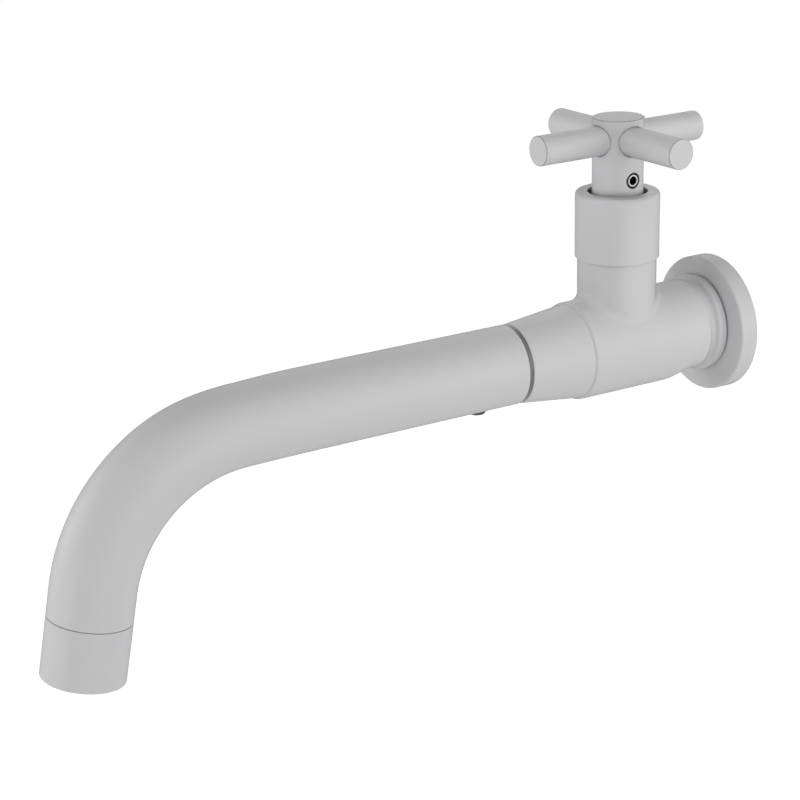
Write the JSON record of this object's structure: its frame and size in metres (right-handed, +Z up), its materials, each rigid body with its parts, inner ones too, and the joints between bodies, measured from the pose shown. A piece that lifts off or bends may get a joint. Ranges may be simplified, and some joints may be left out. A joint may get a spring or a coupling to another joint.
{
  "type": "wall-mounted basin faucet",
  "caption": "Wall-mounted basin faucet with a round rose, a side-branched body, a long down-turned swivel spout and a cross handle.",
  "frame": {"origin": "centre of the rose's wall face, on the axis of the threaded inlet tail", "axes": "+Y into the wall along the inlet tail, -Y out along the body and the straight run of the spout, +Z up along the handle's spindle, +X to the right of someone facing the wall"},
  "size_m": [0.068, 0.2786, 0.1576],
  "materials": {
    "grey_coat": "matt light-grey coat with a fine metallic grain",
    "bare_brass": "turned, uncoated",
    "black_rubber": "matt",
    "grey_acetal": "satin grey",
    "ceramic": "lapped white ceramic, opaque",
    "steel": "bright stainless",
    "dark_steel": "blackened, smooth",
    "white_plastic": "moulded, satin"
  },
  "bodies": {
    "valve": {"valve_body": "grey_coat", "wall_rose": "grey_coat", "wall_gasket": "black_rubber", "swivel_nipple": "bare_brass", "nipple_seal": "black_rubber", "swivel_o_rings": "black_rubber", "friction_washer": "grey_acetal", "seat_seal": "black_rubber", "fixed_disc": "ceramic", "headwork_housing": "bare_brass", "headwork_gasket": "black_rubber", "headwork_sleeve": "grey_coat"},
    "handle": {"moving_disc": "ceramic", "spindle": "bare_brass", "spindle_o_rings": "black_rubber", "spindle_circlip": "steel", "thrust_washer": "grey_acetal", "handle_hub": "grey_coat", "handle_grub_screw": "dark_steel", "spoke_right": "grey_coat", "spoke_left": "grey_coat", "spoke_front": "grey_coat", "spoke_rear": "grey_coat"},
    "spout": {"spout_tube": "grey_coat", "spout_socket": "bare_brass", "retaining_screw": "dark_steel", "outlet_adaptor": "bare_brass", "aerator_housing": "grey_coat", "aerator_washer": "black_rubber", "aerator_strainer": "white_plastic", "aerator_insert": "white_plastic"}
  },
  "joints": [
    {"name": "handle_turn", "type": "hinge", "parent": "valve", "child": "handle", "pos_m": [0, -0.04445, 0], "axis": [0, 0, 1], "range_deg": [0, 90]},
    {"name": "spout_swivel", "type": "hinge", "parent": "valve", "child": "spout", "pos_m": [0, -0.0893, 0], "axis": [0, 1, 0], "range_deg": [-60, 60]}
  ]
}
